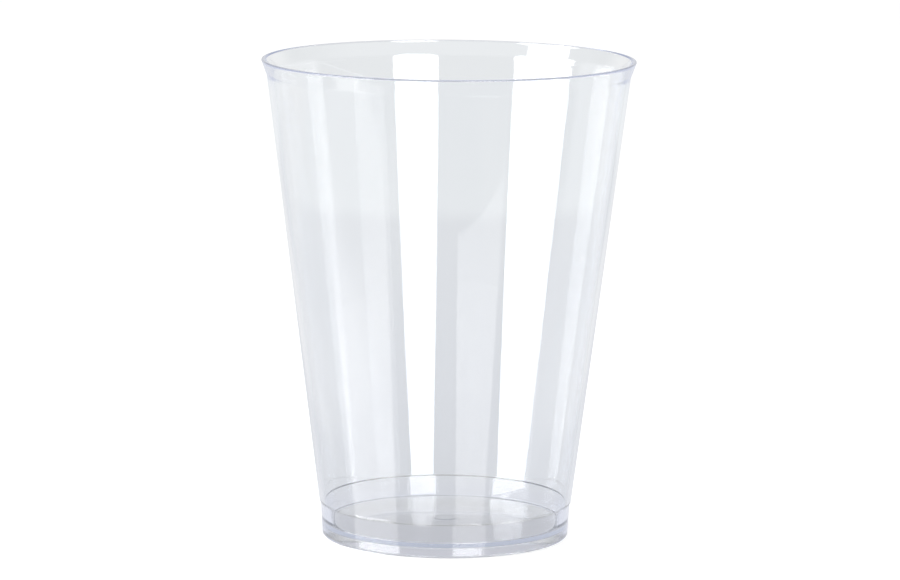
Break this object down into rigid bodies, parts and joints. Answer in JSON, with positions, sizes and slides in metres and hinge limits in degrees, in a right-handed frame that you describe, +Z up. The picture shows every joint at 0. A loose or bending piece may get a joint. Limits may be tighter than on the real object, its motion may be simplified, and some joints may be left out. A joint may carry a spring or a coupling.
{
  "type": "clear plastic tumbler cup",
  "caption": "Clear rigid plastic tumbler with a tapered round wall, flared lip, stacking ledge and raised floor on a foot ring.",
  "frame": {"origin": "centre of the plane on which the foot ring rests", "axes": "+Z up along the cup's axis of revolution, out of the mouth"},
  "size_m": [0.0792, 0.0792, 0.102],
  "materials": {
    "clear_plastic": "clear, glossy, as moulded, with a faint blue tint"
  },
  "bodies": {
    "root": {"tumbler": "clear_plastic"}
  },
  "joints": []
}
